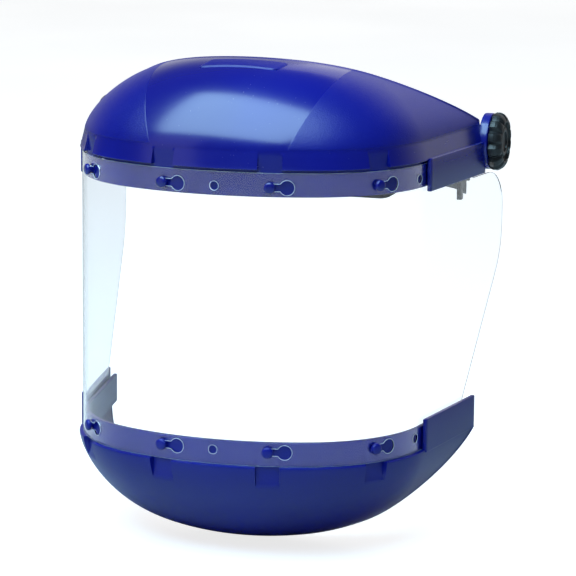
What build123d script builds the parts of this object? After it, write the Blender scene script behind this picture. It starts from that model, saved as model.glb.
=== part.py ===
from build123d import *

import os
from math import acos, ceil, cos, degrees, pi, radians, sin, tan

# Face shield with a chin guard on a ratchet headgear, in millimetres.
# +Z is up, the shield faces -Y, and +X is the wearer's left.
# The origin is the middle of the pivot axis that the visor tilts about.

# Clear window: a flat sheet bent round the plan outline
window_height = 165.0
window_length = 500.0
window_thickness = 1.0
window_top_corner = 22.0
window_side_corner = 50.0
slope_top = -68.0
window_foot = 182.0
hole_to_edge = 8.0

# Plan outline of the window's outer face: front arc, corner arcs, flared sides
front_radius = 151.4
front_half_angle = 20.8
corner_radius = 76.3
side_flare = 9.1
front_setback = 162.0

# Studs that carry the window, and its keyholes
stud_pitch = 62.6
stud_neck_radius = 1.9
stud_head_radius = 3.25
stud_head_height = 2.6
stud_clearance = 0.2
keyhole_radius = 4.2
keyhole_shift = 9.5
round_hole_radius = 2.6
round_hole_place = 127.7
upper_row = -8.9

# Moulded wall thicknesses and how far each wall stands from the window's outer face
band_wall = 2.5
shell_wall = 2.5
panel_wall = 2.4
window_clearance = 0.2
skirt_stand_off = 1.2
bowl_stand_off = 2.2
band_overlap = 5.4

# Crown dome
skirt_height = 10.1
skirt_lean = 2.5
dome_rise = 56.5
dome_fullness = 2.77
dome_roundness = 1.46
dome_back_slope = 0.223
dome_side_drop = 0.192
dome_centre = 39.0
crown_edge_back = 44.5
crown_edge_lean = 1.94
crown_edge_level = 30.0

# Chin guard bowl
bowl_rise = 69.5
bowl_fullness = 3.4
bowl_roundness = 1.5
bowl_back_slope = 0.205
bowl_side_drop = 0.165
bowl_centre = 13.7
bowl_edge_back = 21.0
bowl_edge_lean = 1.25

# Side panels and wings
panel_start = 136.0
panel_depth = 17.0
panel_end = 216.0
wing_height = 18.0
wing_end = 208.0
notch_width = 13.4
notch_height = 9.8
notch_back_margin = 2.0

# Pivot ears, bolts, bushes and knobs
ear_radius = 16.5
ear_thickness = 5.4
ear_inset = 1.6
bolt_radius = 3.0
bolt_past_ear = 5.6
bolt_head_radius = 6.5
bolt_head_height = 3.2
running_clearance = 0.05
bush_wall = 1.6
bush_flange_radius = 8.0
bush_flange = 0.8
washer_radius = 9.5
washer_thickness = 1.0
knob_radius = 17.0
knob_thickness = 7.6
knob_gap = 0.3
knob_lobes = 12
knob_lobe_depth = 1.3
knob_bowl_radius = 11.5
knob_bowl_depth = 1.6
insert_across_flats = 10.0
insert_length = 4.4

# Brackets between the headband and the pivots
bracket_to_ear = 6.2
bracket_wall = 3.0
bracket_foot_wall = 3.0
bracket_radius = 11.0
finger_long = 21.0
finger_short = 14.0

# Headband
head_half_width = 86.0
head_front = 98.0
head_side_start = 30.0
band_height = 22.0
band_thickness = 1.8
band_side_end = 26.0
pad_thickness = 8.0
pad_height = 30.0
pad_half_angle = 62.0
part_gap = 0.3
rivet_radius = 1.5
rivet_hole_radius = 1.6
rivet_head_radius = 3.0

# Straps and the nape ratchet
strap_height = 13.0
strap_thickness = 1.4
strap_start = -5.0
strap_up = 4.0
drop_start = 8.0
drop_end = 55.0
drop_radius = 28.0
nape_drop = 36.0
nape_back = 94.0
nape_corner_radius = 46.0
housing_width = 84.0
housing_margin = 4.6
screw_boss_radius = 2.4
screw_place = 26.0
rack_side_gap = 0.4
housing_wall = 2.0
housing_depth = 11.6
housing_front = 89.0
gear_module = 0.9
gear_teeth = 12
gear_width = 3.0
gear_backlash = 0.3
rack_travel = 10.0
rack_thickness = 1.4
rack_height = 4.2
ratchet_knob_radius = 16.0
ratchet_knob_depth = 12.0
ratchet_lobes = 16
nape_pad_thickness = 5.0

# Strap over the head, folded back
crown_strap_stand_off = 7.0
crown_strap_reach = 84.0
crown_strap_width = 16.0
crown_strap_thickness = 1.2
crown_strap_back = 8.0
crown_strap_up = 5.0
crown_strap_fold = 8.0
crown_strap_overlap = 14.0
crown_strap_tail = 5.0
strap_pivot_radius = 2.0
adjust_hole_radius = 1.9
adjust_hole_pitch = 9.0

# Worked out from the values above
corner_turn = 90 - side_flare - front_half_angle
front_length = front_radius * radians(front_half_angle)
corner_length = corner_radius * radians(corner_turn)
arc_length = front_length + corner_length
window_top = upper_row + hole_to_edge
window_bottom = window_top - window_height
lower_row = window_bottom + hole_to_edge
band_outer = -window_thickness - window_clearance
band_inner = band_outer - band_wall
panel_inner = 0.4
panel_outer = panel_inner + panel_wall
lip_up = window_top + 1.6
crease = lip_up + skirt_height
lip_down = window_bottom - 0.4
stud_places = [stud_pitch * step for step in (-1.5, -0.5, 0.5, 1.5)]
round_holes = [-round_hole_place, 0, round_hole_place]
pitch_radius = gear_module * gear_teeth / 2
brow_length = head_front - head_side_start
crown_strap_half_width = head_half_width + crown_strap_stand_off


# ---------------------------------------------------------------- plan outline
def outline_point(place, offset=0.0):
    """Point and heading at a distance along the window's outer face, and off it by an offset."""
    along = abs(place)
    side = 1 if place >= 0 else -1
    if along <= front_length:
        turn = degrees(along / front_radius)
    elif along <= arc_length:
        turn = front_half_angle + degrees((along - front_length) / corner_radius)
    else:
        turn = 90 - side_flare
    turned = radians(min(turn, front_half_angle))
    x = front_radius * sin(turned)
    y = front_radius * (1 - cos(turned))
    if turn > front_half_angle:
        x += corner_radius * (sin(radians(turn)) - sin(turned))
        y += corner_radius * (cos(turned) - cos(radians(turn)))
    straight = max(along - arc_length, 0)
    x += straight * cos(radians(turn)) + offset * sin(radians(turn))
    y += straight * sin(radians(turn)) - offset * cos(radians(turn))
    return side * x, y - front_setback, side * turn


def outline_run(start, end, offset):
    """Tangent arcs and lines of the outline from start to end."""
    breaks = [-arc_length, -front_length, front_length, arc_length]
    marks = [start] + [b for b in breaks if start < b < end] + [end]
    edges = []
    for first, second in zip(marks, marks[1:]):
        ends = [outline_point(place, offset)[:2] for place in (first, second)]
        middle = (first + second) / 2
        if abs(middle) > arc_length:
            edges.append(Line(*ends))
        else:
            edges.append(ThreePointArc(ends[0], outline_point(middle, offset)[:2], ends[1]))
    return edges


def band_face(inner, outer, start, end, level):
    """Flat strip between two offsets of the outline, at a height."""
    outside = outline_run(start, end, outer)
    inside = outline_run(start, end, inner)
    caps = [Line(outside[0] @ 0, inside[0] @ 0), Line(outside[-1] @ 1, inside[-1] @ 1)]
    return Pos(0, 0, level) * make_face([*outside, *inside, *caps])


def wall(inner, outer, start, end, low, high):
    """Upright wall that follows the outline."""
    return extrude(band_face(inner, outer, start, end, low), high - low, dir=(0, 0, 1))


def outward(place, offset, height):
    """Location on the outline whose Z axis points straight out of the window."""
    x, y, turn = outline_point(place, offset)
    out = (sin(radians(turn)), -cos(radians(turn)), 0)
    return Plane(origin=(x, y, height), x_dir=(cos(radians(turn)), sin(radians(turn)), 0), z_dir=out)


def peg(place, offset, height, radius, length):
    """Round peg that points out of the outline."""
    return outward(place, offset, height) * Cylinder(radius, length, align=(Align.CENTER, Align.CENTER, Align.MIN))


def side_prism(points, half_width=150.0):
    """Solid that spans the whole width, with its outline in the side view (back, up)."""
    face = Plane.YZ * make_face(Polyline(*points, close=True))
    return extrude(face, half_width, both=True)


def turned_x(radius, low, high):
    """Cylinder along X from low to high."""
    return Plane.YZ.offset(low) * Cylinder(radius, high - low, align=(Align.CENTER, Align.CENTER, Align.MIN))


def turned_y(radius, low, high, x=0.0, z=0.0):
    """Cylinder along Y from low to high."""
    base = Plane(origin=(x, low, z), x_dir=(1, 0, 0), z_dir=(0, 1, 0))
    return base * Cylinder(radius, high - low, align=(Align.CENTER, Align.CENTER, Align.MIN))


def span(x_pair, y_pair, z_pair):
    """Box between two corners, given as pairs along each axis."""
    lows = [min(pair) for pair in (x_pair, y_pair, z_pair)]
    sizes = [abs(pair[1] - pair[0]) for pair in (x_pair, y_pair, z_pair)]
    return Pos(*lows) * Box(*sizes, align=(Align.MIN, Align.MIN, Align.MIN))


def other_side(solid):
    """The same piece for the other side of the head."""
    return mirror(solid, about=Plane.YZ)


# Pivot places: the ears stand on the ends of the side panels
ear_inner = outline_point(panel_end)[0] - ear_inset
ear_outer = ear_inner + ear_thickness
bolt_end = ear_outer + bolt_past_ear
bracket_outer = ear_inner - bracket_to_ear

# Slots for the straps and racks, screws outside them, and the housing round the screws
slot_half_height = pitch_radius + rack_height + rack_side_gap
screw_rise = slot_half_height + screw_boss_radius
housing_height = 2 * (screw_rise + housing_margin)


# ---------------------------------------------------------------- visor
def bulged_shell(level, up, offset, shape, reach):
    """Domed shell over the outline. Its lines run from the outline in to a centre near the back."""
    rise, fullness, roundness, back_slope, side_drop, centre = shape
    rows = []
    columns, steps = 60, 14
    for step in range(steps + 1):
        inward = (step / steps) ** 2 * 0.96
        row = []
        for column in range(columns + 1):
            place = -reach + 2 * reach * column / columns
            edge_x, edge_y, _ = outline_point(place, offset)
            x = edge_x * (1 - inward)
            y = edge_y + (-centre - edge_y) * inward
            height = rise * (1 - (1 - inward) ** fullness) ** (1 / roundness)
            height *= 1 - side_drop * (x / 110) ** 2
            height -= back_slope * inward * max(y + front_setback, 0)
            row.append(Vector(x, y, level + up * height))
        rows.append(row)
    skin = Face.make_surface_from_array_of_points(rows, tol=0.05, min_deg=3, max_deg=5)
    return Solid.thicken(skin, -shell_wall, normal_override=(0, -1, up))


def mushroom_stud(place, height):
    """Moulded stud that the window's keyhole slides behind."""
    neck_length = window_thickness + window_clearance + stud_clearance
    stud = peg(place, band_outer - 0.5, height, stud_neck_radius, neck_length + 0.7)
    head = peg(place, stud_clearance, height, stud_head_radius, stud_head_height)
    rounded = fillet(head.edges().filter_by(GeomType.CIRCLE).sort_by(lambda e: e.length)[-2:], 0.7)
    return stud + rounded


def notch(place, low, high):
    """Mould relief cut over a stud, from the band's face out."""
    tool = outward(place, band_outer, (low + high) / 2) * Box(
        notch_width, high - low, 20, align=(Align.CENTER, Align.CENTER, Align.MIN))
    return tool


def crown_shape():
    skirt = loft([band_face(band_inner, skirt_stand_off, -panel_end, panel_end, lip_up),
                  band_face(band_inner, skirt_stand_off - skirt_lean, -panel_end, panel_end, crease)],
                 ruled=True)
    shape = (dome_rise, dome_fullness, dome_roundness, dome_back_slope, dome_side_drop, dome_centre)
    dome = bulged_shell(crease, 1, skirt_stand_off - skirt_lean, shape, window_length / 2)
    crown = skirt + dome
    crown += wall(band_inner, band_outer, -panel_end, panel_end, upper_row - band_overlap, crease)
    for side in (-1, 1):
        start, end = sorted((side * panel_start, side * panel_end))
        crown += wall(panel_inner, panel_outer, start, end, -panel_depth, lip_up + 1)
        crown += wall(band_inner, panel_outer, start, end, lip_up, lip_up + 1)
    rear_top = crown_edge_level + 60
    edge_at = lambda level: -crown_edge_back - crown_edge_lean * (level - crown_edge_level)
    crown -= side_prism([(edge_at(crease - 2), crease - 2), (60, crease - 2), (60, rear_top),
                         (edge_at(rear_top), rear_top)])
    ear = turned_x(ear_radius, ear_inner, ear_outer)
    spot_face = turned_x(knob_radius + 1, ear_outer, ear_outer + 10)
    crown += [ear, other_side(ear)]
    crown -= [spot_face, other_side(spot_face)]
    crown -= turned_x(bolt_radius + running_clearance + bush_wall, -bolt_end, bolt_end)
    for place in stud_places:
        crown -= notch(place, lip_up - 1, lip_up + notch_height)
        crown += mushroom_stud(place, upper_row)
    return crown


def chin_guard_shape():
    shape = (bowl_rise, bowl_fullness, bowl_roundness, bowl_back_slope, bowl_side_drop, bowl_centre)
    bowl = bulged_shell(lip_down, -1, bowl_stand_off, shape, window_length / 2)
    guard = bowl + wall(band_inner, bowl_stand_off - 0.1, -wing_end, wing_end, lip_down - 3, lip_down)
    guard += wall(band_inner, band_outer, -wing_end, wing_end, lip_down - 1, lower_row + band_overlap)
    for side in (-1, 1):
        start, end = sorted((side * panel_start, side * wing_end))
        guard += wall(panel_inner, panel_outer, start, end, lip_down - 1.5, lip_down + wing_height)
    back = -bowl_edge_back
    low = lip_down - 90
    guard -= side_prism([(back, lip_down + 1), (back, 0), (90, 0), (90, low),
                         (back - bowl_edge_lean * (lip_down - low), low)])
    for place in stud_places:
        half = notch_width / 2 + notch_back_margin
        guard += wall(band_inner, band_outer, place - half, place + half, lip_down - notch_height - 1.5, lip_down)
        guard -= notch(place, lip_down - notch_height, lip_down + 1)
        guard += mushroom_stud(place, lower_row)
    return guard


def window_shape():
    sheet = wall(-window_thickness, 0, -window_length / 2, window_length / 2, window_bottom, window_top)
    back = lambda place: outline_point(place)[1]
    rear = back(window_length / 2)
    relief = -panel_depth - 1.5
    shoulder = back(panel_end - 20)
    foot = back(window_foot)
    outline = make_face(Polyline((-200, window_top), (shoulder, window_top), (shoulder + 8, relief), (rear, relief),
                                 (rear, slope_top), (foot, window_bottom), (-200, window_bottom), close=True))
    for up, radius in ((relief, window_top_corner), (slope_top, window_side_corner)):
        corner = outline.vertices().sort_by(lambda v: (v.X - rear) ** 2 + (v.Y - up) ** 2)[0]
        outline = fillet(corner, radius)
    sheet &= extrude(Plane.YZ * outline, 200, both=True)
    for row in (upper_row, lower_row):
        for place in round_holes:
            sheet -= peg(place, -5, row, round_hole_radius, 10)
        for place in stud_places:
            far = place + keyhole_shift
            slot = wall(-5, 5, place, far, row - stud_neck_radius - stud_clearance,
                        row + stud_neck_radius + stud_clearance)
            sheet -= slot
            sheet -= peg(place, -5, row, stud_neck_radius + stud_clearance, 10)
            sheet -= peg(far, -5, row, keyhole_radius, 10)
    return sheet


# ---------------------------------------------------------------- pivots
def pivot_bush_shape():
    bore = bolt_radius + running_clearance
    bush = turned_x(bore + bush_wall, ear_inner - bush_flange, ear_outer)
    bush += turned_x(bush_flange_radius, ear_inner - bush_flange, ear_inner)
    return bush - turned_x(bore, ear_inner - 5, ear_outer + 5)


def pivot_bolt_shape():
    seat = bracket_outer - bracket_wall
    bolt = turned_x(bolt_radius, seat - 1, bolt_end)
    bolt = chamfer(bolt.edges().sort_by(Axis.X)[-1], 0.6)
    head = turned_x(bolt_head_radius, seat - bolt_head_height, seat)
    head = fillet(head.edges().sort_by(Axis.X)[0], 1.4)
    neck = span((seat, seat + 2.4), (-bolt_radius, bolt_radius), (-bolt_radius, bolt_radius))
    return bolt + head + neck


def spring_washer_shape():
    """Dished washer that presses the ear against the knob."""
    low = bracket_outer + 0.1
    high = ear_inner - bush_flange - 0.1
    inner = bolt_radius + 0.4
    dished = Polyline((inner, low), (inner, low + washer_thickness), (washer_radius, high),
                      (washer_radius, high - washer_thickness), close=True)
    ring = revolve(Plane.XZ * make_face(dished), Axis.Z)
    return Plane(origin=(0, 0, 0), x_dir=(0, 1, 0), z_dir=(1, 0, 0)) * ring


def lobed_face(radius, lobes, depth):
    """Scalloped outline: shallow finger hollows round a disc."""
    disc = Circle(radius)
    hollow = Circle(depth * 2.2)
    cuts = PolarLocations(radius + depth * 1.2, lobes) * hollow
    return disc - cuts


def tension_knob_shape():
    low = ear_outer + knob_gap
    high = low + knob_thickness
    outside = Plane.YZ.offset(low)
    knob = extrude(outside * lobed_face(knob_radius, knob_lobes, knob_lobe_depth), knob_thickness, dir=(1, 0, 0))
    dish = turned_x(knob_bowl_radius, high - knob_bowl_depth, high + 1)
    knob -= dish
    knob += turned_x(knob_bowl_radius - 3.5, high - knob_bowl_depth - 1, high - knob_bowl_depth / 2)
    crown_cone = turned_x(knob_radius + 0.3, low - 1, high + 1)
    bevel = chamfer(crown_cone.edges().sort_by(Axis.X)[-1], 3.2)
    knob &= bevel
    pocket = outside * RegularPolygon(insert_across_flats / 2, 6, major_radius=False)
    knob -= extrude(pocket, insert_length, dir=(1, 0, 0))
    knob -= turned_x(bolt_radius + 0.4, low, bolt_end + 0.3)
    return knob


def knob_insert_shape():
    face = Plane.YZ.offset(ear_outer + knob_gap) * RegularPolygon(insert_across_flats / 2, 6, major_radius=False)
    nut = extrude(face, insert_length, dir=(1, 0, 0))
    return nut - turned_x(bolt_radius + running_clearance, ear_outer, bolt_end + 5)


def pivot_bracket_shape():
    """Moulded arm: plate at the pivot, two stop fingers, and a foot on the headband."""
    inner = bracket_outer - bracket_wall
    plate = Plane.YZ.offset(inner) * (Circle(bracket_radius) + Pos(-15, -1) * Rectangle(30, 18))
    arm = extrude(plate, bracket_wall, dir=(1, 0, 0))
    band_x = head_half_width + band_thickness
    arm += span((band_x + part_gap, inner + 1), (-29, -25), (-10, 8))
    arm += span((band_x + part_gap, band_x + part_gap + bracket_foot_wall), (-29, -8), (-10, 8))
    arm += span((inner, bracket_outer - 0.3), (-30, -25.5), (-10 - finger_long, -9))
    arm += span((inner, inner + 1.8), (-8, -5), (-9 - finger_short, -8))
    neck = span((inner - 1, bracket_outer + 1), (-bolt_radius - 0.05, bolt_radius + 0.05),
                (-bolt_radius - 0.05, bolt_radius + 0.05))
    for back, up in bracket_rivet_places():
        arm -= side_hole(1, back, up, rivet_hole_radius)
    return arm - neck


# ---------------------------------------------------------------- headband
def ellipse_arc(half_width, half_length, start, size):
    """Part of an ellipse round the origin, in degrees from +X."""
    return EllipticalCenterArc((0, 0), half_width, half_length, start, arc_size=size)


def head_curve(offset, half_angle=90.0):
    """Front of the headband's plan: part of an ellipse, open to the back."""
    arc = ellipse_arc(head_half_width + offset, brow_length + offset, 270 - half_angle, 2 * half_angle)
    return Pos(0, -head_side_start) * arc


def headband_face(inner, outer, back):
    outside = head_curve(outer)
    inside = head_curve(inner)
    sides = []
    for curve, offset in ((outside, outer), (inside, inner)):
        for side in (-1, 1):
            x = side * (head_half_width + offset)
            sides.append(Line((x, -head_side_start), (x, back)))
    caps = [Line((side * (head_half_width + inner), back), (side * (head_half_width + outer), back))
            for side in (-1, 1)]
    return make_face([outside, inside, *sides, *caps])


def headband_shape():
    band = extrude(headband_face(0, band_thickness, band_side_end), band_height / 2, both=True)
    for side in (-1, 1):
        for back, up in bracket_rivet_places() + strap_rivet_places():
            band -= side_hole(side, back, up, rivet_hole_radius)
        band -= side_hole(side, crown_strap_back, crown_strap_up, strap_pivot_radius + running_clearance)
    for turn in pad_stud_places():
        band -= head_outward(turn, -3) * Cylinder(1.7, 12)
    return band


def bracket_rivet_places():
    return [(-17.0, 3.0), (-17.0, -5.0)]


def strap_rivet_places():
    return [(0.0, 4.0)]


def side_hole(side, back, up, radius):
    base = Plane(origin=(side * (head_half_width - 10), back, up), z_dir=(side, 0, 0))
    return base * Cylinder(radius, 40, align=(Align.CENTER, Align.CENTER, Align.MIN))


def pad_stud_places():
    """Where the sweatband's push studs sit round the front of the headband."""
    return [-50, -25, 0, 25, 50]


def head_outward(turn, offset):
    """Plane on the headband's inner face, its Z axis pointing out of the head."""
    x = head_half_width * sin(radians(turn))
    y = -head_side_start - brow_length * cos(radians(turn))
    out = Vector(sin(radians(turn)) / head_half_width, -cos(radians(turn)) / brow_length, 0).normalized()
    return Plane(origin=Vector(x, y, 0) + out * offset, z_dir=out)


def brow_pad_shape():
    outside = head_curve(-part_gap, pad_half_angle)
    inside = head_curve(-pad_thickness, pad_half_angle)
    caps = [Line(outside @ 0, inside @ 0), Line(outside @ 1, inside @ 1)]
    return extrude(make_face([outside, inside, *caps]), pad_height / 2, both=True)


def pad_studs_shape():
    studs = []
    for turn in pad_stud_places():
        shank = head_outward(turn, 0.0) * Cylinder(1.5, band_thickness, align=(Align.CENTER, Align.CENTER, Align.MIN))
        head = head_outward(turn, band_thickness) * Cylinder(3.2, 1.2, align=(Align.CENTER, Align.CENTER, Align.MIN))
        head = fillet(head.edges().filter_by(GeomType.CIRCLE), 0.4)
        studs.append(shank + head)
    return Compound(children=studs)


# ---------------------------------------------------------------- straps and nape ratchet
def nape_strap_path(offset):
    """Plan of the left strap: along the headband's side, round the back of the head, along the nape."""
    side_x = head_half_width + band_thickness + part_gap + offset
    back_y = nape_back + offset
    radius = nape_corner_radius + offset
    lead = side_x - radius
    return FilletPolyline((side_x, strap_start), (side_x, back_y), (lead - 4, back_y), radius=radius)


def nape_strap_shape():
    inside = nape_strap_path(0)
    outside = nape_strap_path(strap_thickness)
    caps = [Line(inside @ 0, outside @ 0), Line(inside @ 1, outside @ 1)]
    tall = extrude(make_face([*inside.edges(), *outside.edges(), *caps]), head_front, both=True)
    drop = FilletPolyline((strap_start, strap_up), (drop_start, strap_up), (drop_end, -nape_drop),
                          (2 * nape_back, -nape_drop), radius=drop_radius)
    strap = tall & extrude(Plane.YZ * trace(drop, strap_height), 2 * head_half_width, both=True)
    for back, up in strap_rivet_places():
        strap -= side_hole(1, back, up, rivet_hole_radius)
    return strap - side_hole(1, crown_strap_back, crown_strap_up, strap_pivot_radius + running_clearance)


def rivet(side, back, up, x_in, x_out, radius=rivet_radius, head=rivet_head_radius):
    low = Plane(origin=(side * x_in, back, up), z_dir=(side, 0, 0))
    shank = low * Cylinder(radius, x_out - x_in, align=(Align.CENTER, Align.CENTER, Align.MIN))
    top = Plane(origin=(side * x_out, back, up), z_dir=(side, 0, 0)) * Cylinder(
        head, 1.2, align=(Align.CENTER, Align.CENTER, Align.MIN))
    tail = Plane(origin=(side * x_in, back, up), z_dir=(-side, 0, 0)) * Cylinder(
        head, 0.8, align=(Align.CENTER, Align.CENTER, Align.MIN))
    return shank + fillet(top.edges().filter_by(GeomType.CIRCLE), 0.5) + tail


def strap_rivets_shape():
    outer = head_half_width + band_thickness + part_gap + strap_thickness
    rivets = [rivet(side, back, up, head_half_width, outer)
              for side in (-1, 1) for back, up in strap_rivet_places()]
    return Compound(children=rivets)


def bracket_rivets_shape():
    outer = head_half_width + band_thickness + part_gap + bracket_foot_wall
    rivets = [rivet(side, back, up, head_half_width, outer)
              for side in (-1, 1) for back, up in bracket_rivet_places()]
    return Compound(children=rivets)


def housing_outline(shrink=0.0):
    plate = RectangleRounded(housing_width - 2 * shrink, housing_height - 2 * shrink, housing_height / 2 - shrink - 1)
    return Plane(origin=(0, 0, -nape_drop), x_dir=(1, 0, 0), z_dir=(0, 1, 0)) * plate


def housing_half(front, back, floor_low, floor_high):
    """Rim and floor of one half of the ratchet housing."""
    body = extrude(housing_outline().move(Location((0, front, 0))), back - front, dir=(0, 1, 0))
    hollow = extrude(housing_outline(housing_wall).move(Location((0, front, 0))), back - front, dir=(0, 1, 0))
    keep = extrude(housing_outline().move(Location((0, floor_low, 0))), floor_high - floor_low, dir=(0, 1, 0))
    return (body - hollow) + keep


def screw_places():
    return [(x, -nape_drop + z) for x in (-screw_place, screw_place) for z in (-screw_rise, screw_rise)]


def strap_slots():
    low = nape_back - part_gap
    high = nape_back + strap_thickness + 2 * part_gap + rack_thickness + part_gap
    return span((-housing_width, housing_width), (low, high),
                (-nape_drop - slot_half_height, -nape_drop + slot_half_height))


def ratchet_base_shape():
    split = nape_back - part_gap
    base = housing_half(housing_front, split, housing_front, housing_front + housing_wall)
    for x, z in screw_places():
        base += turned_y(screw_boss_radius, housing_front, split, x, z)
        base -= turned_y(1.25, housing_front + 0.8, split + 1, x, z)
    base += turned_y(6.0, housing_front, split - 0.2, 0, -nape_drop)
    base -= turned_y(2.0 + running_clearance, housing_front + 1, split + 1, 0, -nape_drop)
    return base


def ratchet_cover_shape():
    split = nape_back - part_gap
    end = housing_front + housing_depth
    cover = housing_half(split, end, end - housing_wall, end)
    cover -= strap_slots()
    cover += extrude(housing_outline().move(Location((0, end - housing_wall, 0))), housing_wall, dir=(0, 1, 0))
    for x, z in screw_places():
        cover += turned_y(screw_boss_radius, split, end, x, z)
        cover -= turned_y(1.55, split - 1, end + 1, x, z)
    cover -= turned_y(4.0 + running_clearance, split, end + 1, 0, -nape_drop)
    return cover


def ratchet_screws_shape():
    screws = []
    end = housing_front + housing_depth
    for x, z in screw_places():
        shank = turned_y(1.2, housing_front + 1, end, x, z)
        head = turned_y(2.6, end, end + 1.4, x, z)
        slot = span((x - 2, x + 2), (end + 0.7, end + 2), (z - 0.3, z + 0.3))
        slot += span((x - 0.3, x + 0.3), (end + 0.7, end + 2), (z - 2, z + 2))
        screws.append(shank + head - slot)
    return Compound(children=screws)


def involute_half_angle(radius):
    """Half the tooth's angle at a radius, for a 20 degree involute."""
    pressure = radians(20)
    base = pitch_radius * cos(pressure)
    involute = lambda angle: tan(angle) - angle
    at_pitch = (pi * gear_module / 4 - gear_backlash / 4) / pitch_radius
    local = acos(min(base / max(radius, base), 1))
    return at_pitch + involute(pressure) - involute(local)


def pinion_outline():
    """Closed outline of the pinion's teeth, a tooth pointing straight up."""
    base = pitch_radius * cos(radians(20))
    root = pitch_radius - 1.25 * gear_module
    tip = pitch_radius + 0.8 * gear_module
    radii = [root] + [base + (tip - base) * step / 5 for step in range(6)]
    flank = [(radius, involute_half_angle(radius)) for radius in radii]
    points = []
    for tooth in range(gear_teeth):
        middle = 2 * pi * tooth / gear_teeth
        turns = [(r, middle - a) for r, a in flank] + [(r, middle + a) for r, a in reversed(flank)]
        points += [(r * sin(t), r * cos(t)) for r, t in turns]
    return Polyline(*points, close=True)


def ratchet_pinion_shape():
    low = nape_back + strap_thickness
    plane = Plane(origin=(0, low, -nape_drop), x_dir=(1, 0, 0), z_dir=(0, -1, 0))
    gear = extrude(plane * make_face(pinion_outline()), gear_width, dir=(0, 1, 0))
    gear += turned_y(2.0, housing_front + 1.2, low, 0, -nape_drop)
    gear += turned_y(4.0, low + gear_width, housing_front + housing_depth + 1, 0, -nape_drop)
    return gear


def rack_shape():
    """Toothed tail over the pinion, teeth down; its first gap takes the pinion's top tooth."""
    low = nape_back + strap_thickness + part_gap
    pitch = pi * gear_module
    line = -nape_drop + pitch_radius
    addendum = 0.6 * gear_module
    dedendum = 1.1 * gear_module
    half_gap = pitch / 4 + gear_backlash / 4
    lean = tan(radians(20))
    start, end = -12.0, housing_width / 2 - housing_wall
    points = [(start, line + dedendum)]
    for step in range(ceil(start / pitch), int((end - 4) / pitch)):
        x = step * pitch
        points += [(x - half_gap - addendum * lean, line - addendum), (x - half_gap + dedendum * lean, line + dedendum)]
        points += [(x + half_gap - dedendum * lean, line + dedendum), (x + half_gap + addendum * lean, line - addendum)]
    points = [point for point in points if point[0] > start] + [(end, line - addendum)]
    points += [(end, line + rack_height), (start, line + rack_height), (start, line + dedendum)]
    outline = Plane(origin=(0, low, 0), x_dir=(1, 0, 0), z_dir=(0, -1, 0)) * make_face(Polyline(*points, close=True))
    return extrude(outline, rack_thickness, dir=(0, 1, 0))


def ratchet_knob_shape():
    low = housing_front + housing_depth + 0.4
    plane = Plane(origin=(0, low, -nape_drop), x_dir=(1, 0, 0), z_dir=(0, 1, 0))
    knob = extrude(plane * lobed_face(ratchet_knob_radius, ratchet_lobes, 1.0), ratchet_knob_depth, dir=(0, 1, 0))
    cone = chamfer(turned_y(ratchet_knob_radius + 0.2, low - 1, low + ratchet_knob_depth, 0, -nape_drop)
                   .edges().sort_by(Axis.Y)[-1], 2.0)
    knob &= cone
    knob -= turned_y(ratchet_knob_radius - 4, low - 1, low + 5, 0, -nape_drop)
    knob += turned_y(6.5, low + 1.2, low + 5, 0, -nape_drop)
    knob -= turned_y(4.0, low, low + 1.6, 0, -nape_drop)
    knob -= turned_y(ratchet_knob_radius - 5, low + ratchet_knob_depth - 1.2, low + ratchet_knob_depth + 1, 0,
                     -nape_drop)
    return knob


def detent_spring_shape():
    """Ring with two sprung arms that click in the knob."""
    low = housing_front + housing_depth
    ring = turned_y(9.4, low, low + 1.2, 0, -nape_drop) - turned_y(7.4, low - 1, low + 3, 0, -nape_drop)
    for side in (-1, 1):
        ring += turned_y(0.9, low, low + 3.4, side * 10.1, -nape_drop)
    return ring


def nape_pad_shape():
    pad = extrude(housing_outline(1.5).move(Location((0, housing_front - part_gap - nape_pad_thickness, 0))),
                  nape_pad_thickness, dir=(0, 1, 0))
    return pad


# ---------------------------------------------------------------- strap over the head
def crown_strap_half(thickness_from, reach_to):
    """Left half of the arched strap, folded back: an elliptical arch in a plane that dips to the back."""
    inner = crown_strap_half_width + thickness_from
    reach = crown_strap_reach + thickness_from
    size = crown_strap_tail + 90 + reach_to
    outside = ellipse_arc(inner + crown_strap_thickness, reach + crown_strap_thickness, -crown_strap_tail, size)
    inside = ellipse_arc(inner, reach, -crown_strap_tail, size)
    caps = [Line(outside @ 0, inside @ 0), Line(outside @ 1, inside @ 1)]
    return extrude(make_face([outside, inside, *caps]), crown_strap_width / 2, both=True)


def fold_back(solid):
    """Moves an arch modelled flat to its place on the headgear."""
    return Pos(0, crown_strap_back, crown_strap_up) * Rot(-crown_strap_fold, 0, 0) * solid


def arch_plane(turn, offset=0.0):
    """Plane on the strap's inner face, its Z axis pointing away from the head."""
    x = crown_strap_half_width * cos(radians(turn))
    y = crown_strap_reach * sin(radians(turn))
    out = Vector(cos(radians(turn)) / crown_strap_half_width, sin(radians(turn)) / crown_strap_reach, 0).normalized()
    return Plane(origin=Vector(x, y, 0) + out * offset, z_dir=out)


def crown_strap_shape(lift):
    strap = crown_strap_half(lift, crown_strap_overlap)
    for step in range(5):
        strap -= arch_plane(99 - 6 * step) * Cylinder(adjust_hole_radius, 20)
    strap -= arch_plane(0) * Cylinder(strap_pivot_radius + running_clearance, 20)
    return fold_back(strap)


def crown_strap_pins_shape():
    """The two pins that lock the overlapping ends together."""
    low = -0.2
    high = 2 * crown_strap_thickness + part_gap
    pins = []
    for turn in (87.0, 93.0):
        shank = arch_plane(turn, low) * Cylinder(1.6, high - low, align=(Align.CENTER, Align.CENTER, Align.MIN))
        head = arch_plane(turn, high) * Cylinder(3.2, 1.2, align=(Align.CENTER, Align.CENTER, Align.MIN))
        pins.append(fold_back(shank + head))
    return Compound(children=pins)


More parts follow.
